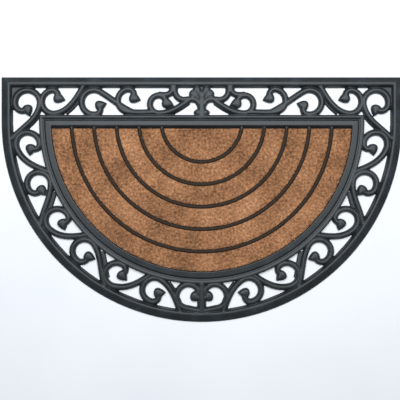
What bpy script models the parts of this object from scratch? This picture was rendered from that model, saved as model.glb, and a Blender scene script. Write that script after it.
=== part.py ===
"""Half-round doormat: one moulded rubber frame with six inlays of coir pile.

Metres, +Z up. The mat lies on z = 0, its long straight edge towards +Y, and the
origin is under the middle of its bounding box. All the arcs share one centre,
which lies on the Y axis, level with the ends of the two straight sides.
"""

from collections import namedtuple
from math import asin, atan2, cos, degrees, hypot, pi, radians, sin, sqrt

import bmesh
import bpy
from mathutils import Vector

MM = 0.001

# Overall size
WIDTH = 0.9144
DEPTH = 0.5588
OUTER_RADIUS = WIDTH / 2
STRAIGHT_SIDE = DEPTH - OUTER_RADIUS
CENTRE_Y = DEPTH / 2 - STRAIGHT_SIDE

# Divisions of a half circle, and how far in radians an arc's end keeps from one
ARC_STEPS = 48
ANGLE_CLEARANCE = 0.005

# How near points merge, and how many decimals of a metre a bar's heights keep
WELD = 0.00001
MIRROR_WELD = 0.00005
HEIGHT_DIGITS = 7

# Stepped frame round the pile, and the web that carries the pile
FRAME_RADIUS = 0.373
FRAME_TOP = 0.016
WEB = 0.003
WALL_TOP = 0.0122
WALL_SIDE_INSET = 0.0310
WALL_TOP_INSET = 0.0259
WALL_SIDE_DRAFT = 0.0008
WALL_TOP_DRAFT = 0.0064

# Ribs between the bands of pile
RIB_FIRST = 0.092
RIB_PITCH = 0.051
RIB_COUNT = 5
RIB_ROOT = 0.0015
RIB_TOP = 0.0108
RIB_HALF_ROOT = 0.0051
RIB_HALF_TOP = 0.0032
RIB_END_Y = -0.004

# Pile
PILE_TOP = 0.0126
PILE_SHOULDER = 0.0109
PILE_ROUNDING = 0.0011
GAP = 0.0003

# Openwork band: the middle of its two stretches, how finely its scrolls turn, in
# degrees, how far their tails' curves are pulled, and the leaves at their ends
SIDE_MID = 0.402
TOP_MID = 0.0468
SCROLL_TURN = 22.5
TAIL_STEPS = 6
TAIL_PULL = 0.36
LEAF_LENGTH = 0.029
LEAF_WIDTH = 0.0245
LEAF_HEIGHT = 0.0104
LEAF_POINTS = 12
LEAF_ROUND_SHARE = 1 / 3
LEAF_FULLNESS = 1.3
LEAF_TIP = Vector((16.0, -5.0))

# The low web in each upper corner of the openwork
GUSSET_LEG = 0.022
GUSSET_ROOT = 0.002
GUSSET_HEIGHT = 0.004

# A row of a moulded edge: how far in from the outline's arc, how far in from its
# straight edge, and the height, in millimetres
Step = namedtuple("Step", "side_inset top_inset height")
RIM_STEPS = (
    Step(0.0, 0.0, 0.0),
    Step(0.0, 0.0, 2.5),
    Step(12.5, 9.8, 10.0),
    Step(16.5, 13.6, 11.2),
    Step(21.6, 19.0, 10.6),
    Step(26.7, 24.0, 0.0),
)
FRAME_STEPS = (
    Step(0.0, 0.0, 0.0),
    Step(1.5, 1.2, 9.0),
    Step(3.5, 3.0, 9.8),
    Step(11.5, 9.5, 9.8),
    Step(13.5, 11.2, 7.5),
    Step(15.5, 13.0, 7.5),
    Step(17.5, 14.8, 11.6),
)

# Cross-sections of the bars: half widths and heights, in millimetres
Bar = namedtuple("Bar", "half_root root half_top top")
SCROLL_BAR = Bar(7.9, 0.0, 2.9, 9.6)
STEM_BAR = Bar(10.8, 0.0, 5.6, 10.0)
RIB_BAR = Bar(RIB_HALF_ROOT / MM, RIB_ROOT / MM, RIB_HALF_TOP / MM, RIB_TOP / MM)

# A scroll starts at its leaf, spirals out to its ring, goes round it and leaves
# in a tail that crosses the band. The hand says on which side the tail starts:
# 1 on the inner side, -1 on the outer. Places are in millimetres along the band
# and out from its middle, and for the leaf and the tail they are measured from
# the ring's centre. Angles are in degrees.
Scroll = namedtuple(
    "Scroll",
    "name band along out hand ring leaf_along leaf_out joins leaves "
    "tail_along tail_out heading",
)
SIDE_PITCH = 93.9
SIDE_FIRST = 53.4
SCROLLS = (
    Scroll("corner", "side", -45.0, -1.8, 1, 28.5, 13.5, 1.5, 85, 280, 82, 35, 48),
    Scroll("side_1", "side", SIDE_FIRST, 0.5, -1, 27, 9.5, 5.5, 75, 285, 77, 35, 48),
    Scroll("side_2", "side", SIDE_FIRST + SIDE_PITCH, -1, 1, 27, 13.5, -1, 85, 285, 78, 35, 42),
    Scroll("side_3", "side", SIDE_FIRST + 2 * SIDE_PITCH, -1, -1, 27, 11, 5, 75, 285, 75, 35, 50),
    Scroll("side_4", "side", SIDE_FIRST + 3 * SIDE_PITCH, 0, 1, 27, 14, 1, 85, 285, 77, 34, 42),
    Scroll("side_5", "side", SIDE_FIRST + 4 * SIDE_PITCH, 0, -1, 27, 12, 5, 75, 285, 77, 35, 50),
    Scroll("side_6", "side", SIDE_FIRST + 5 * SIDE_PITCH - 3, -1, 1, 27, 11, 3, 85, 285, 64, 35, 66),
    Scroll("foot", "side", 601.0, 0.5, -1, 27.5, 14.5, 1, 50, 265, 33, -31, 5),
    Scroll("top_1", "top", 119.0, 2, 1, 27, 10, 9, 100, 280, 64, 34, 58),
    Scroll("top_2", "top", 210.9, 0, -1, 28, 15, 8, 75, 287, 86, 26, 22),
    Scroll("top_3", "top", 291.6, 3, 1, 26, 11, 6, 100, 262, 58, -28, 0),
    Scroll("top_4", "top", 359.5, -5, 1, 20.5, 16, 3, 100, 270, 78, 15, 20),
)

# Plain bars of the openwork, each a path of places from the centre of the arcs
STEM = ((-64.5, 86), (-64.5, 67))
STEM_TO_PALMETTE = (
    (-62, 76), (-60, 66), (-53, 56.5), (-42, 52), (-31, 52.5), (-20, 52), (-11, 48.5), (-5, 40),
)
STEM_TO_SCROLL = ((-67, 76), (-70, 67), (-78, 62), (-88, 61), (-99, 62))
PALMETTE_TRUNK = ((0, 62), (0, 40), (0, 12))
FOOT_TRUNK = ((0, -368), (0, -400), (0, -434))

# The palmette's petals: the widest place, where the tip points to, length, width
# and height
Petal = namedtuple("Petal", "name x y tip_x tip_y length width height")
PETALS = (
    Petal("petal_side", -18.5, 63.5, 0, 44, 32, 22, 10.2),
    Petal("petal_upper", -10.5, 72.5, 0, 44, 30, 19, 10.6),
    Petal("petal_middle", 0, 62, 0, 36, 30, 22, 11.2),
)

# Low rounded pads: the middle, the half sizes and the height
Pad = namedtuple("Pad", "name x y half_x half_y height")
PADS = (
    Pad("palmette_back", 0, 73, 20, 13, 6.5),
    Pad("palmette_foot", 0, 21.0, 19, 9.5, 10.0),
)

# A crowned lump: share of the outline and share of the height, from the ground up
CROWN_LEVELS = ((1.0, 0.0), (0.88, 0.6), (0.5, 1.0))

RUBBER = ("black rubber", (0.035, 0.042, 0.045), 0.55)
COIR = ("coir pile", (0.42, 0.21, 0.10), 0.95)


def clear_scene():
    for old in list(bpy.context.scene.objects):
        bpy.data.objects.remove(old, do_unlink=True)


def new_collection(name, parent):
    collection = bpy.data.collections.new(name)
    parent.children.link(collection)
    return collection


def new_material(name, colour, roughness):
    material = bpy.data.materials.new(name)
    material.use_nodes = True
    shader = material.node_tree.nodes["Principled BSDF"]
    shader.inputs["Base Color"].default_value = (*colour, 1.0)
    shader.inputs["Roughness"].default_value = roughness
    shader.inputs["Metallic"].default_value = 0.0
    return material


def add_object(name, mesh, collection):
    obj = bpy.data.objects.new(name, mesh)
    collection.objects.link(obj)
    return obj


def add_guide(name, mesh, collection):
    """A helper that a Boolean reads and that isn't a piece of its own."""
    obj = add_object(name, mesh, collection)
    obj.hide_render = True
    obj.display_type = "WIRE"
    return obj


def lofted(name, loops, closed=False):
    """A solid through loops of equal length: a ring if closed, else capped at both ends."""
    mesh = bmesh.new()
    rows = [[mesh.verts.new(point) for point in loop] for loop in loops]
    pairs = list(zip(rows, rows[1:]))
    if closed:
        pairs.append((rows[-1], rows[0]))
    for lower, upper in pairs:
        for here in range(len(lower)):
            after = (here + 1) % len(lower)
            mesh.faces.new((lower[here], lower[after], upper[after], upper[here]))
    if not closed:
        mesh.faces.new(rows[0])
        mesh.faces.new(rows[-1])
    bmesh.ops.recalc_face_normals(mesh, faces=mesh.faces)
    data = bpy.data.meshes.new(name)
    mesh.to_mesh(data)
    mesh.free()
    return data


def on_mat(x, y, z=0.0):
    """A place measured from the centre of the arcs, in the mat's own frame."""
    return Vector((x, CENTRE_Y + y, z))


def even_angles():
    """The even divisions of the half circle, without its two ends."""
    return [pi * step / ARC_STEPS for step in range(1, ARC_STEPS)]


def arc_angles(start, clear_of):
    """An arc's start, the even divisions that lie past clear_of, and its end."""
    low = clear_of + ANGLE_CLEARANCE
    return [start, *[angle for angle in even_angles() if low < angle < pi - low], pi - start]


def half_round(radius, top, height):
    """A half-round outline from its left corner round to its right one."""
    if top > 0:
        side = radius
        heel = 0.0
    else:
        side = sqrt(radius**2 - top**2)
        heel = (asin(-top / radius) + pi / ARC_STEPS) / 2
    angles = [heel, *even_angles(), pi - heel]
    arc = [on_mat(-radius * cos(angle), -radius * sin(angle), height) for angle in angles]
    return [on_mat(-side, top, height), *arc, on_mat(side, top, height)]


def stepped_loops(steps, radius, top):
    return [
        half_round(radius - step.side_inset * MM, top - step.top_inset * MM, step.height * MM)
        for step in steps
    ]


def rim_mesh():
    return lofted("rubber_frame", stepped_loops(RIM_STEPS, OUTER_RADIUS, STRAIGHT_SIDE), True)


def tray_mesh():
    """The stepped frame with the web under the pile."""
    loops = stepped_loops(FRAME_STEPS, FRAME_RADIUS, FRAME_TOP)
    loops.append(half_round(wall_radius(WALL_TOP), bar_edge(WALL_TOP), WALL_TOP))
    loops.append(half_round(wall_radius(WEB), bar_edge(WEB), WEB))
    return lofted("tray", loops)


def wall_depth(height):
    """How far down the tray's wall a height is, as a share of the whole wall."""
    return (WALL_TOP - height) / (WALL_TOP - WEB)


def wall_radius(height):
    return FRAME_RADIUS - WALL_SIDE_INSET - WALL_SIDE_DRAFT * wall_depth(height)


def bar_edge(height):
    return FRAME_TOP - WALL_TOP_INSET - WALL_TOP_DRAFT * wall_depth(height)


def rib_radius(number):
    return RIB_FIRST + RIB_PITCH * number


def rib_half(height):
    rise = (height - RIB_ROOT) / (RIB_TOP - RIB_ROOT)
    return RIB_HALF_ROOT + (RIB_HALF_TOP - RIB_HALF_ROOT) * rise


def section_curve(name, bar, collection):
    """The outline of a bar's section, which other curves are swept with."""
    curve = bpy.data.curves.new(name, "CURVE")
    curve.dimensions = "2D"
    spline = curve.splines.new("POLY")
    spline.points.add(3)
    corners = (
        (-bar.half_root, bar.root),
        (bar.half_root, bar.root),
        (bar.half_top, bar.top),
        (-bar.half_top, bar.top),
    )
    for point, (across, up) in zip(spline.points, corners):
        point.co = (across * MM, up * MM, 0.0, 1.0)
    spline.use_cyclic_u = True
    return add_guide(name, curve, collection)


def swept_bar(name, path, section, collection):
    """A bar along a path on the ground, as a closed mesh."""
    curve = bpy.data.curves.new(name, "CURVE")
    curve.dimensions = "3D"
    curve.twist_mode = "Z_UP"
    curve.bevel_mode = "OBJECT"
    curve.bevel_object = section
    curve.use_fill_caps = True
    spline = curve.splines.new("POLY")
    spline.points.add(len(path) - 1)
    for point, place in zip(spline.points, path):
        point.co = (*place, 1.0)
    drawn = add_object(name + "_curve", curve, collection)
    graph = bpy.context.evaluated_depsgraph_get()
    mesh = bpy.data.meshes.new_from_object(drawn.evaluated_get(graph))
    mesh.name = name
    welded = bmesh.new()
    welded.from_mesh(mesh)
    bmesh.ops.remove_doubles(welded, verts=welded.verts, dist=WELD)
    for vert in welded.verts:
        vert.co.z = round(vert.co.z, HEIGHT_DIGITS)
    bmesh.ops.recalc_face_normals(welded, faces=welded.faces)
    welded.to_mesh(mesh)
    welded.free()
    solid = add_guide(name, mesh, collection)
    solid.matrix_world = drawn.matrix_world
    bpy.data.objects.remove(drawn, do_unlink=True)
    return solid


def side_place(along, out):
    """A place in the band down the left side and round the arc, in metres."""
    radius = SIDE_MID + out
    if along <= 0:
        return on_mat(-radius, -along)
    angle = along / SIDE_MID
    return on_mat(-radius * cos(angle), -radius * sin(angle))


def top_place(along, out):
    """A place in the band under the straight edge, from the left corner on."""
    return on_mat(along - OUTER_RADIUS, TOP_MID + out)


def bezier(start, start_pull, end_pull, end, steps):
    """The points of a cubic curve after its start."""
    points = []
    for step in range(1, steps + 1):
        t = step / steps
        s = 1 - t
        pulled = 3 * s * s * t * start_pull + 3 * s * t * t * end_pull
        points.append(s**3 * start + pulled + t**3 * end)
    return points


def scroll_path(row):
    """The scroll's middle line about its ring's centre, along and out, in millimetres."""
    leaf_reach = hypot(row.leaf_along, row.leaf_out)
    leaf_angle = degrees(atan2(row.leaf_out, row.leaf_along))
    points = []
    steps = max(2, round((row.joins - leaf_angle) / SCROLL_TURN))
    for step in range(steps):
        share = step / steps
        angle = radians(leaf_angle + (row.joins - leaf_angle) * share)
        reach = row.ring - (row.ring - leaf_reach) * (1 - share) ** 2
        points.append(Vector((reach * cos(angle), reach * sin(angle))))
    steps = round((row.leaves - row.joins) / SCROLL_TURN)
    for step in range(steps + 1):
        angle = radians(row.joins + (row.leaves - row.joins) * step / steps)
        points.append(Vector((row.ring * cos(angle), row.ring * sin(angle))))
    start = points[-1]
    end = Vector((row.tail_along, row.tail_out))
    pull = (end - start).length * TAIL_PULL
    leaving = radians(row.leaves)
    heading = radians(row.heading)
    start_pull = start + pull * Vector((-sin(leaving), cos(leaving)))
    end_pull = end - pull * Vector((cos(heading), sin(heading)))
    return points + bezier(start, start_pull, end_pull, end, TAIL_STEPS)


def in_band(row, along, out):
    """A place about a scroll's ring, set into its band."""
    place = top_place if row.band == "top" else side_place
    return place((row.along + along) * MM, (row.out + row.hand * out) * MM)


def teardrop(widest, tip, length, width):
    """A leaf's outline: round at one end and pointed towards the tip."""
    forward = (tip - widest).normalized()
    across = Vector((-forward.y, forward.x, 0.0))
    points = []
    for step in range(LEAF_POINTS):
        turn = 2 * pi * step / LEAF_POINTS
        ahead = length / 2 * (cos(turn) + LEAF_ROUND_SHARE)
        aside = width / 2 * LEAF_FULLNESS * sin(turn) * sin(turn / 2)
        points.append(widest + forward * ahead + across * aside)
    return points


def ellipse(middle, half_x, half_y):
    turns = [2 * pi * step / LEAF_POINTS for step in range(LEAF_POINTS)]
    return [middle + Vector((half_x * cos(turn), half_y * sin(turn), 0.0)) for turn in turns]


def crowned(name, outline, middle, height):
    """A low crowned lump over an outline."""
    loops = []
    for share, rise in CROWN_LEVELS:
        lift = Vector((0.0, 0.0, height * rise))
        loops.append([middle + (point - middle) * share + lift for point in outline])
    return lofted(name, loops)


def scroll_solids(section, collection):
    for row in SCROLLS:
        path = [in_band(row, *point) for point in scroll_path(row)]
        swept_bar("scroll_" + row.name, path, section, collection)
        widest = in_band(row, row.leaf_along, row.leaf_out)
        tip = in_band(row, row.leaf_along + LEAF_TIP.x, row.leaf_out + LEAF_TIP.y)
        outline = teardrop(widest, tip, LEAF_LENGTH, LEAF_WIDTH)
        name = "leaf_" + row.name
        add_guide(name, crowned(name, outline, widest, LEAF_HEIGHT), collection)


def path_on_mat(places):
    return [on_mat(x * MM, y * MM) for x, y in places]


def centre_solids(scroll_section, stem_section, collection):
    """The palmette in the middle of the straight edge, its stems, and the foot of the arc."""
    swept_bar("stem", path_on_mat(STEM), stem_section, collection)
    swept_bar("stem_to_palmette", path_on_mat(STEM_TO_PALMETTE), scroll_section, collection)
    swept_bar("stem_to_scroll", path_on_mat(STEM_TO_SCROLL), scroll_section, collection)
    swept_bar("palmette_trunk", path_on_mat(PALMETTE_TRUNK), stem_section, collection)
    swept_bar("foot_trunk", path_on_mat(FOOT_TRUNK), stem_section, collection)
    for petal in PETALS:
        widest = on_mat(petal.x * MM, petal.y * MM)
        tip = on_mat(petal.tip_x * MM, petal.tip_y * MM)
        outline = teardrop(widest, tip, petal.length * MM, petal.width * MM)
        mesh = crowned(petal.name, outline, widest, petal.height * MM)
        add_guide(petal.name, mesh, collection)
    for pad in PADS:
        middle = on_mat(pad.x * MM, pad.y * MM)
        outline = ellipse(middle, pad.half_x * MM, pad.half_y * MM)
        add_guide(pad.name, crowned(pad.name, outline, middle, pad.height * MM), collection)


def corner_gusset(collection):
    """The low web that fills the corner of the openwork."""
    left = OUTER_RADIUS - RIM_STEPS[-1].side_inset * MM + GUSSET_ROOT
    top = STRAIGHT_SIDE - RIM_STEPS[-1].top_inset * MM + GUSSET_ROOT
    corners = ((-left, top), (-left, top - GUSSET_LEG), (GUSSET_LEG - left, top))
    loops = [[on_mat(x, y, height) for x, y in corners] for height in (0.0, GUSSET_HEIGHT)]
    add_guide("corner_gusset", lofted("corner_gusset", loops), collection)


def rib_solids(section, collection):
    for number in range(RIB_COUNT):
        radius = rib_radius(number)
        start = asin(-RIB_END_Y / radius)
        angles = arc_angles(start, start)
        path = [on_mat(-radius * cos(angle), -radius * sin(angle)) for angle in angles]
        swept_bar(f"rib_{number + 1}", path, section, collection)


def rubber_frame(parts, guides):
    """The whole moulding: the left half is joined up and then mirrored."""
    bars = new_collection("frame guides", guides)
    sections = new_collection("bar sections", guides)
    scroll_section = section_curve("scroll_section", SCROLL_BAR, sections)
    stem_section = section_curve("stem_section", STEM_BAR, sections)
    rib_section = section_curve("rib_section", RIB_BAR, sections)
    add_guide("tray", tray_mesh(), bars)
    rib_solids(rib_section, bars)
    scroll_solids(scroll_section, bars)
    centre_solids(scroll_section, stem_section, bars)
    corner_gusset(bars)
    frame = add_object("rubber_frame", rim_mesh(), parts)
    union = frame.modifiers.new("one moulding", "BOOLEAN")
    union.operation = "UNION"
    union.solver = "EXACT"
    union.operand_type = "COLLECTION"
    union.collection = bars
    mirror = frame.modifiers.new("right half", "MIRROR")
    mirror.use_axis = (True, False, False)
    mirror.use_bisect_axis = (True, False, False)
    mirror.use_bisect_flip_axis = (True, False, False)
    mirror.bisect_threshold = WELD
    mirror.use_clip = True
    mirror.merge_threshold = MIRROR_WELD
    frame.data.materials.append(new_material(*RUBBER))
    return frame


def inlay_arc(radius, edge, height):
    """An arc of an inlay, with the same divisions at every height."""
    furthest_edge = bar_edge(WEB) - GAP - PILE_ROUNDING
    angles = arc_angles(asin(-edge / radius), asin(-furthest_edge / radius))
    return [on_mat(-radius * cos(angle), -radius * sin(angle), height) for angle in angles]


def inlay_outline(inner, outer, edge, height):
    """Round the outer arc, then back along the inner one, which a half-disc lacks."""
    points = inlay_arc(outer, edge, height)
    if inner:
        points += reversed(inlay_arc(inner, edge, height))
    return points


def coir_inlay(name, inner_rib, outer_rib, material, parts):
    """One inlay, a gap away from the ribs, the wall's foot and the web."""
    loops = []
    levels = ((WEB + GAP, 0.0), (PILE_SHOULDER, 0.0), (PILE_TOP, PILE_ROUNDING))
    for height, rounding in levels:
        clear = GAP + rounding
        beside = rib_half(min(height, RIB_TOP)) + clear
        inner = rib_radius(inner_rib) + beside if inner_rib is not None else 0.0
        if outer_rib is None:
            outer = wall_radius(WEB) - clear
        else:
            outer = rib_radius(outer_rib) - beside
        loops.append(inlay_outline(inner, outer, bar_edge(WEB) - clear, height))
    inlay = add_object(name, lofted(name, loops), parts)
    inlay.data.materials.append(material)
    return inlay


def coir_inlays(parts):
    coir = new_material(*COIR)
    coir_inlay("coir_half_disc", None, 0, coir, parts)
    for number in range(RIB_COUNT):
        outer_rib = number + 1 if number + 1 < RIB_COUNT else None
        coir_inlay(f"coir_band_{number + 1}", number, outer_rib, coir, parts)


def main():
    clear_scene()
    scene_collection = bpy.context.scene.collection
    parts = new_collection("coir doormat", scene_collection)
    guides = new_collection("guides", scene_collection)
    guides.hide_render = True
    rubber_frame(parts, guides)
    coir_inlays(parts)


main()
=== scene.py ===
"""The looks of the half-round coir doormat: its rubber moulding and its six inlays of pile.

Metres, +Z up, the mat on z = 0 with its straight edge towards +Y. The named sizes
and the tables of the openwork repeat those of the part's solids. The moulding is
drawn in its left half, melted into one skin, and mirrored. Each inlay is a bumpy pad
with leaning fibres of coir rooted in it.
"""

from collections import namedtuple
from math import asin, atan2, cos, degrees, hypot, pi, radians, sin, sqrt

import bmesh
import bpy
import numpy as np
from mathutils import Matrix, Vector


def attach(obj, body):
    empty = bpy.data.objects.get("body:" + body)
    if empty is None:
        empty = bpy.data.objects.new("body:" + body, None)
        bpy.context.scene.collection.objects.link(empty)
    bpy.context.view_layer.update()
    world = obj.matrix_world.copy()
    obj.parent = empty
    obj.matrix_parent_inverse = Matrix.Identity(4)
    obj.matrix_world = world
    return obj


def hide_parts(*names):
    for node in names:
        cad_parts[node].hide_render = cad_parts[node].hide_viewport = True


MM = 0.001

# Overall size
WIDTH = 0.9144
DEPTH = 0.5588
OUTER_RADIUS = WIDTH / 2
STRAIGHT_SIDE = DEPTH - OUTER_RADIUS
CENTRE_Y = DEPTH / 2 - STRAIGHT_SIDE

# Divisions of a half circle
ARC_STEPS = 240

# Stepped frame round the pile, and the web that carries the pile
FRAME_RADIUS = 0.3714
FRAME_TOP = 0.016
WEB = 0.003
WALL_FOOT_RADIUS = 0.3412
WALL_FOOT_EDGE = -0.0163

# Ribs between the bands of pile
RIB_FIRST = 0.092
RIB_PITCH = 0.051
RIB_COUNT = 5
RIB_HALF_ROOT = 0.0051
RIB_END_Y = -0.004

# Openwork band
SIDE_MID = 0.402
TOP_MID = 0.0468
SCROLL_TURN = 8
TAIL_STEPS = 18
TAIL_PULL = 0.36
LEAF_LENGTH = 0.029
LEAF_WIDTH = 0.0245
LEAF_HEIGHT = 0.0104
LEAF_POINTS = 40
LEAF_ROUND_SHARE = 1 / 3
LEAF_FULLNESS = 1.3
LEAF_TIP = Vector((16.0, -5.0))
SKIRT_FROM = 3
GUSSET_LEG = 0.022
GUSSET_HEIGHT = 0.004

# The melt: how much of the right half is melted along with the left, the size of a
# voxel, the rounds of smoothing, and the triangles that the whole moulding keeps
MELT_MARGIN = 0.008
MELT_VOXEL = 0.0009
MELT_SMOOTHING = 3
MOULDING_TRIANGLES = 190_000
MELT_BELOW = 0.0027
UNDERSIDE_SNAP = 0.0002
UNDERSIDE_WELD = 0.0002

# A row of a moulded edge: how far in from the outline's arc, how far in from its
# straight edge, and the height, in millimetres
Step = namedtuple("Step", "side_inset top_inset height")
RIM_STEPS = (
    Step(0.0, 0.0, 0.0),
    Step(0.0, 0.0, 2.5),
    Step(4.0, 3.2, 5.0),
    Step(10.5, 8.3, 8.6),
    Step(13.4, 10.6, 10.4),
    Step(15.6, 12.8, 11.1),
    Step(18.2, 15.6, 11.3),
    Step(20.4, 18.2, 10.9),
    Step(22.2, 20.4, 9.4),
    Step(24.2, 22.7, 5.5),
    Step(26.9, 25.5, 0.0),
)
FRAME_STEPS = (
    Step(0.0, 0.0, 0.0),
    Step(0.8, 0.8, 6.5),
    Step(1.7, 1.8, 8.8),
    Step(3.6, 3.7, 9.9),
    Step(6.4, 6.6, 9.9),
    Step(9.4, 9.1, 9.0),
    Step(11.6, 10.9, 7.6),
    Step(13.7, 12.8, 7.2),
    Step(14.8, 13.7, 10.2),
    Step(16.0, 14.9, 11.6),
    Step(28.2, 24.7, 12.3),
    Step(29.2, 25.9, 11.6),
    Step(30.2, 32.3, 3.0),
)

# Cross-sections of the bars: half widths and heights from the ground up, in millimetres
SCROLL_SECTION = ((7.7, 0.0), (7.5, 2.2), (6.3, 5.4), (4.0, 8.6), (2.0, 9.8))
SKIRT_SECTION = ((7.6, 0.0), (7.4, 2.0), (5.0, 3.6), (2.0, 4.4))
STEM_SECTION = ((10.8, 0.0), (10.5, 2.2), (8.5, 6.4), (6.2, 9.2), (3.4, 10.3))
RIB_SECTION = ((5.1, 1.5), (4.6, 5.0), (3.4, 8.4), (1.6, 9.9))

# A scroll of the openwork, from its leaf round its ring to the end of its tail
Scroll = namedtuple(
    "Scroll",
    "name band along out hand ring leaf_along leaf_out joins leaves "
    "tail_along tail_out heading skirt",
)
SCROLLS = (
    Scroll("corner", "side", -43.4, -4.1, 1, 28.5, 13.5, 0.5, 85, 280, 80, 37.3, 48, 3),
    Scroll("side_1", "side", 51.6, -1.8, -1, 27, 9.5, 5.5, 75, 285, 76, 33, 48, 0),
    Scroll("side_2", "side", 146.1, -4.2, 1, 27, 14, 1, 85, 285, 82, 38, 42, 8),
    Scroll("side_3", "side", 241.2, -2.8, -1, 27, 11, 6, 75, 285, 74, 34, 50, 0),
    Scroll("side_4", "side", 335.1, -3.2, 1, 27, 14, 4, 85, 285, 83, 37, 42, 8.5),
    Scroll("side_5", "side", 426.6, -2.0, -1, 27, 10.5, 5, 75, 285, 77, 34, 50, 0),
    Scroll("side_6", "side", 520.9, -3.2, 1, 27.5, 9.5, 5, 85, 285, 65, 37, 66, 3.5),
    Scroll("foot", "side", 601.0, -2.2, -1, 27.5, 13.5, 1, 50, 265, 33, -31, 5, 0),
    Scroll("top_1", "top", 119.0, -1.4, 1, 27, 9, 9, 100, 280, 69.5, 37.4, 58, 5),
    Scroll("top_2", "top", 210.9, -2.3, -1, 28, 12, 8, 75, 300, 90, 23.7, 24, 0),
    Scroll("top_3", "top", 291.6, 1.6, 1, 26, 9, 6, 100, 262, 58, -26.6, 0, 0),
    Scroll("top_4", "top", 359.5, -7, 1, 20.5, 16, 3, 100, 270, 78, 16, 34, 2.5),
)

# Plain bars of the openwork
STEM = ((-64.5, 86), (-64.5, 67))
STEM_TO_PALMETTE = (
    (-62, 74), (-60, 63.5), (-53, 54), (-42, 50), (-31, 51), (-20, 51), (-11, 48), (-5, 40),
)
STEM_TO_SCROLL = ((-67, 76), (-70, 67), (-78, 62), (-88, 61), (-99, 62))
PALMETTE_TRUNK = ((0, 62), (0, 40), (0, 12))
FOOT_TRUNK = ((0, -368), (0, -400), (0, -434))

Petal = namedtuple("Petal", "name x y tip_x tip_y length width height")
PETALS = (
    Petal("petal_side", -18.5, 63.5, 0, 44, 32, 22, 10.2),
    Petal("petal_upper", -10.5, 72.5, 0, 44, 30, 19, 10.6),
    Petal("petal_middle", 0, 62, 0, 36, 30, 22, 11.2),
)
Pad = namedtuple("Pad", "name x y half_x half_y height")
PADS = (
    Pad("palmette_back", 0, 73, 20, 13, 6.5),
    Pad("palmette_foot", 0, 21.0, 19, 9.5, 10.0),
)

# A crowned lump: share of the outline and share of the height, from the ground up
CROWN_LEVELS = ((1.0, 0.0), (0.97, 0.35), (0.86, 0.68), (0.66, 0.89), (0.38, 0.98), (0.12, 1.0))

# Pile: the pad, and the fibres rooted in it
GAP = 0.0003
PAD_TOP = 0.0098
PAD_BUMP = 0.0007
PAD_CELL = 0.0030
PAD_EDGE_DROP = 0.0012
PILE_SIDE = 0.0004
BESIDE_RIB = 0.0046
FOOT_DRAFT = 0.0008
FIBRE_PER_MM2 = 1.0
FIBRE_INSET = 0.0002
FIBRE_WIDTH = 0.0009
FIBRE_LEAN = 0.0014
FIBRE_ROOT = 0.0086
FIBRE_TOP = 0.0129
FIBRE_UNEVEN = 0.0022
TUFT = 0.0042
SEED = 7

# The camera looks straight down; the picture is as wide as VIEW_WIDTH on the ground
CAMERA_HEIGHT = 1.5
VIEW_WIDTH = 0.9148
VIEW_MIDDLE = (-0.0039, -0.0009)


def new_object(name, mesh):
    obj = bpy.data.objects.new(name, mesh)
    bpy.context.scene.collection.objects.link(obj)
    return obj


# ---------------------------------------------------------------- rubber moulding


def add_loft(mesh, loops, closed=False):
    """Adds a solid through loops of equal length: a ring if closed, else capped."""
    rows = [[mesh.verts.new(point) for point in loop] for loop in loops]
    pairs = list(zip(rows, rows[1:]))
    if closed:
        pairs.append((rows[-1], rows[0]))
    faces = []
    for lower, upper in pairs:
        for here in range(len(lower)):
            after = (here + 1) % len(lower)
            faces.append(mesh.faces.new((lower[here], lower[after], upper[after], upper[here])))
    if not closed:
        faces.append(mesh.faces.new(rows[0]))
        faces.append(mesh.faces.new(rows[-1]))
    bmesh.ops.recalc_face_normals(mesh, faces=faces)


def on_mat(x, y, z=0.0):
    """A place measured from the centre of the arcs, in the mat's own frame."""
    return Vector((x, CENTRE_Y + y, z))


def half_round(radius, top, height, lean=0.0):
    """A half-round outline from its left corner round to its right one."""
    if top > 0:
        side = radius - lean
        heel = 0.0
    else:
        side = sqrt(radius**2 - top**2)
        heel = asin(-top / radius)
    angles = [heel + (pi - 2 * heel) * step / ARC_STEPS for step in range(ARC_STEPS + 1)]
    arc = [on_mat(-radius * cos(angle), -radius * sin(angle), height) for angle in angles]
    if top > 0:
        return [on_mat(-side, top, height), *arc, on_mat(side, top, height)]
    return arc


def stepped_loops(steps, radius, top):
    loops = []
    for step in steps:
        edge = top - step.top_inset * MM
        loop = half_round(radius - step.side_inset * MM, edge, step.height * MM)
        if edge <= 0:
            loop = [loop[0], *loop, loop[-1]]
        loops.append(loop)
    return loops


def add_bar(mesh, path, section):
    """Adds a bar along a path on the ground."""
    ring = [(-across, up) for across, up in section]
    ring += [(across, up) for across, up in reversed(section)]
    loops = []
    for number, place in enumerate(path):
        before = path[max(number - 1, 0)]
        after = path[min(number + 1, len(path) - 1)]
        along = (after - before).normalized()
        aside = Vector((along.y, -along.x, 0.0))
        loops.append([place + aside * across * MM + Vector((0, 0, up * MM)) for across, up in ring])
    add_loft(mesh, loops)


def side_place(along, out):
    """A place in the band down the left side and round the arc, in metres."""
    radius = SIDE_MID + out
    if along <= 0:
        return on_mat(-radius, -along)
    angle = along / SIDE_MID
    return on_mat(-radius * cos(angle), -radius * sin(angle))


def top_place(along, out):
    """A place in the band under the straight edge, from the left corner on."""
    return on_mat(along - OUTER_RADIUS, TOP_MID + out)


def bezier(start, start_pull, end_pull, end, steps):
    """The points of a cubic curve after its start."""
    points = []
    for step in range(1, steps + 1):
        t = step / steps
        s = 1 - t
        pulled = 3 * s * s * t * start_pull + 3 * s * t * t * end_pull
        points.append(s**3 * start + pulled + t**3 * end)
    return points


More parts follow.
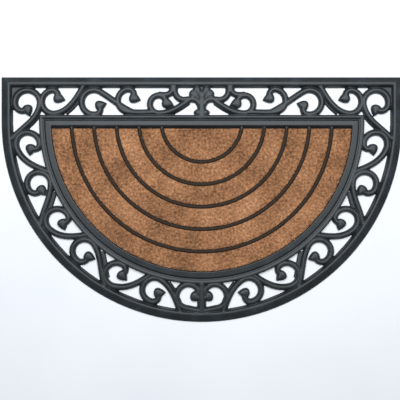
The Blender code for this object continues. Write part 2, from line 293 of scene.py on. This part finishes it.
def scroll_path(row):
    """The scroll's middle line about its ring's centre, along and out, in millimetres."""
    leaf_reach = hypot(row.leaf_along, row.leaf_out)
    leaf_angle = degrees(atan2(row.leaf_out, row.leaf_along))
    points = []
    steps = max(2, round((row.joins - leaf_angle) / SCROLL_TURN))
    for step in range(steps):
        share = step / steps
        angle = radians(leaf_angle + (row.joins - leaf_angle) * share)
        reach = row.ring - (row.ring - leaf_reach) * (1 - share) ** 2
        points.append(Vector((reach * cos(angle), reach * sin(angle))))
    steps = round((row.leaves - row.joins) / SCROLL_TURN)
    for step in range(steps + 1):
        angle = radians(row.joins + (row.leaves - row.joins) * step / steps)
        points.append(Vector((row.ring * cos(angle), row.ring * sin(angle))))
    start = points[-1]
    end = Vector((row.tail_along, row.tail_out))
    pull = (end - start).length * TAIL_PULL
    leaving = radians(row.leaves)
    heading = radians(row.heading)
    start_pull = start + pull * Vector((-sin(leaving), cos(leaving)))
    end_pull = end - pull * Vector((cos(heading), sin(heading)))
    return points + bezier(start, start_pull, end_pull, end, TAIL_STEPS)


def in_band(row, along, out):
    """A place about a scroll's ring, set into its band."""
    place = top_place if row.band == "top" else side_place
    return place((row.along + along) * MM, (row.out + row.hand * out) * MM)


def teardrop(widest, tip, length, width):
    """A leaf's outline: round at one end and pointed towards the tip."""
    forward = (tip - widest).normalized()
    across = Vector((-forward.y, forward.x, 0.0))
    points = []
    for step in range(LEAF_POINTS):
        turn = 2 * pi * step / LEAF_POINTS
        ahead = length / 2 * (cos(turn) + LEAF_ROUND_SHARE)
        aside = width / 2 * LEAF_FULLNESS * sin(turn) * sin(turn / 2)
        points.append(widest + forward * ahead + across * aside)
    return points


def ellipse(middle, half_x, half_y):
    turns = [2 * pi * step / LEAF_POINTS for step in range(LEAF_POINTS)]
    return [middle + Vector((half_x * cos(turn), half_y * sin(turn), 0.0)) for turn in turns]


def add_crowned(mesh, outline, middle, height):
    """Adds a rounded lump over an outline."""
    loops = []
    for share, rise in CROWN_LEVELS:
        lift = Vector((0.0, 0.0, height * rise))
        loops.append([middle + (point - middle) * share + lift for point in outline])
    add_loft(mesh, loops)


def skirt_path(row):
    """The middle line of the low skirt that widens a tail on its far side."""
    tail = scroll_path(row)[-TAIL_STEPS:][SKIRT_FROM - 1 : 1 - SKIRT_FROM]
    points = []
    for before, point, after in zip(tail, tail[1:], tail[2:]):
        along = (after - before).normalized()
        points.append(point + row.skirt * Vector((along.y, -along.x)))
    return points


def add_scrolls(mesh):
    for row in SCROLLS:
        add_bar(mesh, [in_band(row, *point) for point in scroll_path(row)], SCROLL_SECTION)
        if row.skirt:
            add_bar(mesh, [in_band(row, *point) for point in skirt_path(row)], SKIRT_SECTION)
        widest = in_band(row, row.leaf_along, row.leaf_out)
        tip = in_band(row, row.leaf_along + LEAF_TIP.x, row.leaf_out + LEAF_TIP.y)
        add_crowned(mesh, teardrop(widest, tip, LEAF_LENGTH, LEAF_WIDTH), widest, LEAF_HEIGHT)


def rounded_path(places):
    """A path on the mat through places in millimetres, as a smooth curve."""
    points = [on_mat(x * MM, y * MM) for x, y in places]
    padded = [2 * points[0] - points[1], *points, 2 * points[-1] - points[-2]]
    path = [points[0]]
    for a, b, c, d in zip(padded, padded[1:], padded[2:], padded[3:]):
        path += bezier(b, b + (c - a) / 6, c - (d - b) / 6, c, 6)
    return path


def add_centre(mesh):
    """Adds the palmette, its stems, and the foot of the arc."""
    add_bar(mesh, rounded_path(STEM), STEM_SECTION)
    add_bar(mesh, rounded_path(STEM_TO_PALMETTE), SCROLL_SECTION)
    add_bar(mesh, rounded_path(STEM_TO_SCROLL), SCROLL_SECTION)
    add_bar(mesh, rounded_path(PALMETTE_TRUNK), STEM_SECTION)
    add_bar(mesh, rounded_path(FOOT_TRUNK), STEM_SECTION)
    for petal in PETALS:
        widest = on_mat(petal.x * MM, petal.y * MM)
        tip = on_mat(petal.tip_x * MM, petal.tip_y * MM)
        outline = teardrop(widest, tip, petal.length * MM, petal.width * MM)
        add_crowned(mesh, outline, widest, petal.height * MM)
    for pad in PADS:
        middle = on_mat(pad.x * MM, pad.y * MM)
        outline = ellipse(middle, pad.half_x * MM, pad.half_y * MM)
        add_crowned(mesh, outline, middle, pad.height * MM)


def add_corner(mesh):
    """Adds the low web that fills the corner of the openwork."""
    left = OUTER_RADIUS - RIM_STEPS[-1].side_inset * MM + 2 * MM
    top = STRAIGHT_SIDE - RIM_STEPS[-1].top_inset * MM + 2 * MM
    corners = ((-left, top), (-left, top - GUSSET_LEG), (GUSSET_LEG - left, top))
    loops = [[on_mat(x, y, height) for x, y in corners] for height in (0.0, GUSSET_HEIGHT)]
    add_loft(mesh, loops)


def add_ribs(mesh):
    for number in range(RIB_COUNT):
        radius = RIB_FIRST + RIB_PITCH * number
        start = asin(-RIB_END_Y / radius)
        angles = [start + (pi - 2 * start) * step / ARC_STEPS for step in range(ARC_STEPS + 1)]
        path = [on_mat(-radius * cos(angle), -radius * sin(angle)) for angle in angles]
        add_bar(mesh, path, RIB_SECTION)


def applied(obj, *modifiers):
    """The object with modifiers of the given kinds and settings applied."""
    for kind, settings in modifiers:
        modifier = obj.modifiers.new(kind, kind)
        for key, value in settings.items():
            setattr(modifier, key, value)
    graph = bpy.context.evaluated_depsgraph_get()
    mesh = bpy.data.meshes.new_from_object(obj.evaluated_get(graph))
    obj.modifiers.clear()
    old = obj.data
    obj.data = mesh
    bpy.data.meshes.remove(old)
    return obj


def rubber_moulding():
    drawn = bmesh.new()
    add_loft(drawn, stepped_loops(RIM_STEPS, OUTER_RADIUS, STRAIGHT_SIDE), closed=True)
    add_loft(drawn, stepped_loops(FRAME_STEPS, FRAME_RADIUS, FRAME_TOP))
    add_ribs(drawn)
    add_scrolls(drawn)
    add_centre(drawn)
    add_corner(drawn)
    for vert in drawn.verts:
        if vert.co.z == 0.0:
            vert.co.z = -MELT_BELOW
    mesh = bpy.data.meshes.new("rubber_moulding")
    drawn.to_mesh(mesh)
    drawn.free()
    moulding = new_object("rubber_moulding", mesh)
    applied(
        moulding,
        ("REMESH", {"mode": "VOXEL", "voxel_size": MELT_VOXEL}),
        ("SMOOTH", {"factor": 0.5, "iterations": MELT_SMOOTHING}),
    )
    keep_left(moulding.data)
    triangles = 2 * len(moulding.data.polygons)
    applied(moulding, ("DECIMATE", {"ratio": MOULDING_TRIANGLES / 2 / triangles}))
    applied(
        moulding,
        (
            "MIRROR",
            {
                "use_axis": (True, False, False),
                "use_bisect_axis": (True, False, False),
                "use_bisect_flip_axis": (True, False, False),
                "bisect_threshold": 0.00001,
                "use_clip": True,
                "merge_threshold": 0.00005,
            },
        ),
    )
    return moulding


def keep_left(data):
    """Drops what the mirror makes again, and rests the underside flat on the ground."""
    mesh = bmesh.new()
    mesh.from_mesh(data)
    right = [vert for vert in mesh.verts if vert.co.x > MELT_MARGIN]
    bmesh.ops.delete(mesh, geom=right, context="VERTS")
    under = [vert for vert in mesh.verts if vert.co.z < UNDERSIDE_SNAP]
    for vert in under:
        vert.co.z = 0.0
    bmesh.ops.remove_doubles(mesh, verts=under, dist=UNDERSIDE_WELD)
    mesh.to_mesh(data)
    mesh.free()


def give_pile_side(data):
    """Gives what lies inside the tray's wall, the ribs and the web, the second material."""
    for face in data.polygons:
        x, y, z = face.center
        y -= CENTRE_Y
        inside = hypot(x, y) < WALL_FOOT_RADIUS + PILE_SIDE and y < WALL_FOOT_EDGE + PILE_SIDE
        face.material_index = int(inside and z > WEB / 2)


# ---------------------------------------------------------------- coir pile


def smooth_noise(x, y, cell, seed):
    """Noise from 0 to 1 over the ground, with features of the cell's size."""
    table = np.random.default_rng(seed).random((256, 256))
    across, up = x / cell, y / cell
    column, row = np.floor(across).astype(int), np.floor(up).astype(int)
    across, up = across - column, up - row
    across, up = across * across * (3 - 2 * across), up * up * (3 - 2 * up)

    def corner(right, above):
        return table[(column + right) % 256, (row + above) % 256]

    low = corner(0, 0) * (1 - across) + corner(1, 0) * across
    high = corner(0, 1) * (1 - across) + corner(1, 1) * across
    return low * (1 - up) + high * up


class Bed:
    """The ground plan of an inlay, between two circles and below the straight wall."""

    def __init__(self, inner_rib, outer_rib):
        self.edge = WALL_FOOT_EDGE - GAP
        self.inner = 0.0
        self.inner_foot = -self.edge
        if inner_rib is not None:
            self.inner = RIB_FIRST + RIB_PITCH * inner_rib + BESIDE_RIB
            self.inner_foot = self.inner + FOOT_DRAFT
        if outer_rib is None:
            self.outer = WALL_FOOT_RADIUS - GAP
            self.outer_foot = self.outer
        else:
            self.outer = RIB_FIRST + RIB_PITCH * outer_rib - BESIDE_RIB
            self.outer_foot = self.outer - FOOT_DRAFT

    def holds(self, x, y, margin):
        """Which places lie in the plan and at least a margin from its edge."""
        reach = np.hypot(x, y)
        inside = (reach < self.outer - margin) & (y < self.edge - margin)
        if self.inner:
            inside &= reach > self.inner + margin
        return inside


def pad_mesh(bed, rng):
    """The pad's points and quads: a bumpy top, sides, and an underside."""
    start = max(bed.inner, -bed.edge)
    rings = max(3, round((bed.outer - start) / PAD_CELL))
    turns = round(pi * bed.outer / PAD_CELL)
    radii = np.linspace(start, bed.outer, rings + 1)
    radii = np.concatenate([radii, [bed.outer_foot, bed.inner_foot]])
    heel = np.arcsin(np.clip(-bed.edge / radii, -1, 1))
    share = np.linspace(0, 1, turns + 1)
    angles = heel[:, None] + (pi - 2 * heel[:, None]) * share
    x, y = -radii[:, None] * np.cos(angles), -radii[:, None] * np.sin(angles)
    z = PAD_TOP + PAD_BUMP * (smooth_noise(x, y, TUFT, 3) * 2 - 1)
    z += PAD_BUMP * rng.uniform(-0.6, 0.6, z.shape)
    z[0] -= PAD_EDGE_DROP
    z[rings] -= PAD_EDGE_DROP
    z[:, 0] -= PAD_EDGE_DROP
    z[:, -1] -= PAD_EDGE_DROP
    z[rings + 1 :] = WEB + GAP
    points = np.stack([x, y + CENTRE_Y, z], axis=-1).reshape(-1, 3)
    across = turns + 1
    faces = []
    count = rings + 3
    for row in range(count):
        below = (row + 1) % count
        for column in range(turns):
            a, b = row * across + column, below * across + column
            faces.append((a, a + 1, b + 1, b))
    for column in (0, turns):
        faces.append([row * across + column for row in range(count)])
    return points, faces


def fibre_points(bed, rng):
    """Four points a fibre: three round its root and its tip, and each fibre's shade."""
    spacing = 1 / sqrt(FIBRE_PER_MM2) * MM
    reach = bed.outer
    columns = int(2 * reach / spacing)
    rows = int(reach / spacing)
    x, y = np.meshgrid(np.arange(columns) * spacing - reach, -np.arange(rows) * spacing)
    x = (x + rng.uniform(-0.5, 0.5, x.shape) * spacing).ravel()
    y = (y + rng.uniform(-0.5, 0.5, y.shape) * spacing).ravel()
    inside = bed.holds(x, y, FIBRE_INSET)
    x, y = x[inside], y[inside]
    count = len(x)
    tuft = smooth_noise(x, y, TUFT, 11)
    wide = smooth_noise(x, y, 6 * TUFT, 12)
    lean_x = smooth_noise(x, y, TUFT, 13) * 2 - 1 + rng.uniform(-1, 1, count)
    lean_y = smooth_noise(x, y, TUFT, 14) * 2 - 1 + rng.uniform(-1, 1, count)
    lean_x *= FIBRE_LEAN
    lean_y *= FIBRE_LEAN
    tip_z = FIBRE_TOP - FIBRE_UNEVEN * (0.5 * (1 - tuft) + 0.15 * (1 - wide) + 0.35 * rng.random(count))
    turn = rng.uniform(0, 2 * pi, count)
    width = FIBRE_WIDTH * rng.uniform(0.75, 1.25, count)
    points = np.empty((count, 4, 3))
    for corner in range(3):
        angle = turn + corner * 2 * pi / 3
        points[:, corner, 0] = x + width / 2 * np.cos(angle)
        points[:, corner, 1] = y + width / 2 * np.sin(angle) + CENTRE_Y
        points[:, corner, 2] = FIBRE_ROOT
    points[:, 3, 0] = x + lean_x
    points[:, 3, 1] = y + lean_y + CENTRE_Y
    points[:, 3, 2] = tip_z
    shade = 0.55 * rng.random(count) + 0.35 * tuft + 0.1 * wide
    return points.reshape(-1, 3), np.repeat(shade, 4)


def pile_piece(node, inner_rib, outer_rib, material, seed):
    name = node.replace("coir", "pile")
    bed = Bed(inner_rib, outer_rib)
    rng = np.random.default_rng(seed)
    pad_points, pad_faces = pad_mesh(bed, rng)
    points, shade = fibre_points(bed, rng)
    roots = np.arange(0, len(points), 4)[:, None] + len(pad_points)
    sides = np.array([[0, 2, 1], [0, 1, 3], [1, 2, 3], [2, 0, 3]])
    fibres = (roots[:, None, :] + sides[None]).reshape(-1, 3)
    mesh = bpy.data.meshes.new(name)
    mesh.from_pydata(
        np.concatenate([pad_points, points]).tolist(), [], pad_faces + fibres.tolist()
    )
    mesh.update()
    shades = mesh.attributes.new("shade", "FLOAT", "POINT")
    shades.data.foreach_set("value", np.concatenate([np.full(len(pad_points), 0.25), shade]))
    lay_flat_map(mesh)
    piece = new_object(name, mesh)
    mesh.materials.append(material)
    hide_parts(node)
    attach(piece, "root")
    return piece


def lay_flat_map(mesh):
    """A map that looks straight down on the piece, for its fibres' colours."""
    places = np.empty(len(mesh.vertices) * 3)
    mesh.vertices.foreach_get("co", places)
    places = places.reshape(-1, 3)[:, :2]
    low, high = places.min(0), places.max(0)
    corners = np.empty(len(mesh.loops), dtype=int)
    mesh.loops.foreach_get("vertex_index", corners)
    flat = (places[corners] - low) / (high - low)
    layer = mesh.uv_layers.new(name="OFBake")
    layer.data.foreach_set("uv", flat.ravel())


def pile_pieces():
    material = coir_material()
    pieces = [pile_piece("coir_half_disc", None, 0, material, SEED)]
    for number in range(RIB_COUNT):
        outer_rib = number + 1 if number + 1 < RIB_COUNT else None
        node = f"coir_band_{number + 1}"
        pieces.append(pile_piece(node, number, outer_rib, material, SEED + 1 + number))
    return pieces


# ---------------------------------------------------------------- materials


def new_material(name, roughness, specular):
    """A material, and a function that adds a node to it and joins its inputs."""
    material = bpy.data.materials.new(name)
    material.use_nodes = True
    tree = material.node_tree
    shader = tree.nodes["Principled BSDF"]
    shader.inputs["Roughness"].default_value = roughness
    shader.inputs["Specular IOR Level"].default_value = specular

    def add(kind, inputs=(), **settings):
        node = tree.nodes.new("ShaderNode" + kind)
        for key, value in settings.items():
            setattr(node, key, value)
        for key, value in dict(inputs).items():
            if isinstance(value, bpy.types.NodeSocket):
                tree.links.new(value, node.inputs[key])
            else:
                node.inputs[key].default_value = value
        return node

    return material, shader, add


def join(add, shader, **sockets):
    tree = shader.id_data
    for key, socket in sockets.items():
        tree.links.new(socket, shader.inputs[key.replace("_", " ")])


def ramp(add, factor, *stops):
    node = add("ValToRGB", {"Fac": factor})
    elements = node.color_ramp.elements
    while len(elements) < len(stops):
        elements.new(0.5)
    for element, (position, colour) in zip(elements, stops):
        element.position = position
        element.color = (*colour, 1.0)
    return node.outputs["Color"]


def coir_material():
    material, shader, add = new_material("coir", 0.9, 0.15)
    place = add("TexCoord").outputs["Object"]
    shade = add("Attribute", attribute_name="shade").outputs["Fac"]
    tuft = add("TexNoise", {"Vector": place, "Scale": 190.0, "Detail": 3.0}).outputs["Fac"]
    patch = add("TexNoise", {"Vector": place, "Scale": 14.0, "Detail": 2.0}).outputs["Fac"]
    both = add("Math", {0: tuft, 1: 0.9, 2: shade}, operation="MULTIPLY_ADD").outputs[0]
    all_three = add("Math", {0: patch, 1: 0.6, 2: both}, operation="MULTIPLY_ADD").outputs[0]
    level = add("MapRange", {"Value": all_three, "From Min": 0.72, "From Max": 1.72}).outputs[0]
    colour = ramp(
        add,
        level,
        (0.0, (0.085, 0.040, 0.018)),
        (0.35, (0.38, 0.184, 0.088)),
        (0.65, (0.66, 0.362, 0.188)),
        (1.0, (0.92, 0.680, 0.440)),
    )
    join(add, shader, Base_Color=colour)
    grain = add("TexNoise", {"Vector": place, "Scale": 2500.0, "Detail": 2.0}).outputs["Fac"]
    bump = add("Bump", {"Height": grain, "Strength": 0.3, "Distance": 0.0002})
    join(add, shader, Normal=bump.outputs["Normal"])
    return material


def rubber_material():
    material, shader, add = new_material("rubber", 0.5, 0.38)
    place = add("TexCoord").outputs["Object"]
    cloud = add("TexNoise", {"Vector": place, "Scale": 26.0, "Detail": 4.0}).outputs["Fac"]
    speck = add("TexNoise", {"Vector": place, "Scale": 420.0, "Detail": 3.0}).outputs["Fac"]
    mixed = add("Math", {0: speck, 1: 0.6, 2: cloud}, operation="MULTIPLY_ADD").outputs[0]
    level = add("MapRange", {"Value": mixed, "From Min": 0.55, "From Max": 1.1}).outputs[0]
    # The greys are the rubber's own near-black, with a slight cool tint that is painted reflection of the
    # bluish sky.
    colour = ramp(
        add,
        level,
        (0.0, (0.009, 0.012, 0.014)),
        (0.6, (0.016, 0.021, 0.025)),
        (1.0, (0.034, 0.042, 0.049)),
    )
    gloss = add("MapRange", {"Value": mixed, "From Min": 0.5, "From Max": 1.2, "To Min": 0.34, "To Max": 0.48})
    grain = add("TexNoise", {"Vector": place, "Scale": 900.0, "Detail": 4.0}).outputs["Fac"]
    bump = add("Bump", {"Height": grain, "Strength": 0.35, "Distance": 0.0003})
    join(add, shader, Base_Color=colour, Roughness=gloss.outputs[0], Normal=bump.outputs["Normal"])
    return material


def dusty_rubber_material():
    """The ribs between the pile: the same rubber under a film of brown coir dust."""
    material, shader, add = new_material("dusty_rubber", 0.8, 0.25)
    place = add("TexCoord").outputs["Object"]
    dust = add("TexNoise", {"Vector": place, "Scale": 300.0, "Detail": 4.0}).outputs["Fac"]
    colour = ramp(
        add,
        dust,
        (0.3, (0.018, 0.013, 0.010)),
        (0.6, (0.034, 0.022, 0.014)),
        (0.8, (0.110, 0.060, 0.030)),
    )
    grain = add("TexNoise", {"Vector": place, "Scale": 900.0, "Detail": 4.0}).outputs["Fac"]
    bump = add("Bump", {"Height": grain, "Strength": 0.5, "Distance": 0.0004})
    join(add, shader, Base_Color=colour, Normal=bump.outputs["Normal"])
    return material


def floor_material():
    material, shader, add = new_material("pale_floor", 0.85, 0.2)
    place = add("TexCoord").outputs["Object"]
    cloud = add("TexNoise", {"Vector": place, "Scale": 2.2, "Detail": 3.0}).outputs["Fac"]
    colour = ramp(add, cloud, (0.3, (0.78, 0.79, 0.82)), (0.7, (0.84, 0.85, 0.86)))
    weave = add("TexNoise", {"Vector": place, "Scale": 700.0, "Detail": 2.0}).outputs["Fac"]
    bump = add("Bump", {"Height": weave, "Strength": 0.15, "Distance": 0.0005})
    join(add, shader, Base_Color=colour, Normal=bump.outputs["Normal"])
    return material


# ---------------------------------------------------------------- stage


def stage_floor():
    mesh = bpy.data.meshes.new("floor")
    half = 3.0
    corners = [(-half, -half), (half, -half), (half, half), (-half, half)]
    mesh.from_pydata([(x, y, -0.0002) for x, y in corners], [], [(0, 1, 2, 3)])
    floor = new_object("floor", mesh)
    mesh.materials.append(floor_material())


def area_light(name, place, target, size, power, colour):
    light = bpy.data.lights.new(name, "AREA")
    light.shape = "RECTANGLE"
    light.size, light.size_y = size
    light.energy = power
    light.color = colour
    lamp = new_object(name, light)
    lamp.location = place
    lamp.rotation_euler = (Vector(target) - Vector(place)).to_track_quat("-Z", "Y").to_euler()
    return lamp


def lights():
    area_light("sky", (0.0, 0.85, 2.1), (0.0, 0.85, 0.0), (2.8, 2.0), 84.0, (0.93, 0.97, 1.0))
    world = bpy.data.worlds.new("studio")
    bpy.context.scene.world = world
    world.use_nodes = True
    background = world.node_tree.nodes["Background"]
    background.inputs["Color"].default_value = (0.93, 0.96, 1.0, 1.0)
    background.inputs["Strength"].default_value = 0.22
    bpy.context.scene.view_settings.view_transform = "Standard"


def camera():
    data = bpy.data.cameras.new("camera")
    data.sensor_width = 36.0
    data.lens = data.sensor_width * CAMERA_HEIGHT / VIEW_WIDTH
    obj = new_object("camera", data)
    obj.location = (*VIEW_MIDDLE, CAMERA_HEIGHT)
    bpy.context.scene.camera = obj


# ---------------------------------------------------------------- the scene

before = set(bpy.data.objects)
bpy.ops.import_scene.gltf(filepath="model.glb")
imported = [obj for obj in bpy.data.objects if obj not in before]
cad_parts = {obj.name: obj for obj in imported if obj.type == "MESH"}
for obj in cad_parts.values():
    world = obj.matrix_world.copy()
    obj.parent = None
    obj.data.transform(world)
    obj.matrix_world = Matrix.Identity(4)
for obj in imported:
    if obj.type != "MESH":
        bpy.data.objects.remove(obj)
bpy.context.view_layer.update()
moulding = rubber_moulding()
moulding.data.materials.append(rubber_material())
moulding.data.materials.append(dusty_rubber_material())
give_pile_side(moulding.data)
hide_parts("rubber_frame")
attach(moulding, "root")
pieces = pile_pieces()
stage_floor()
lights()
camera()
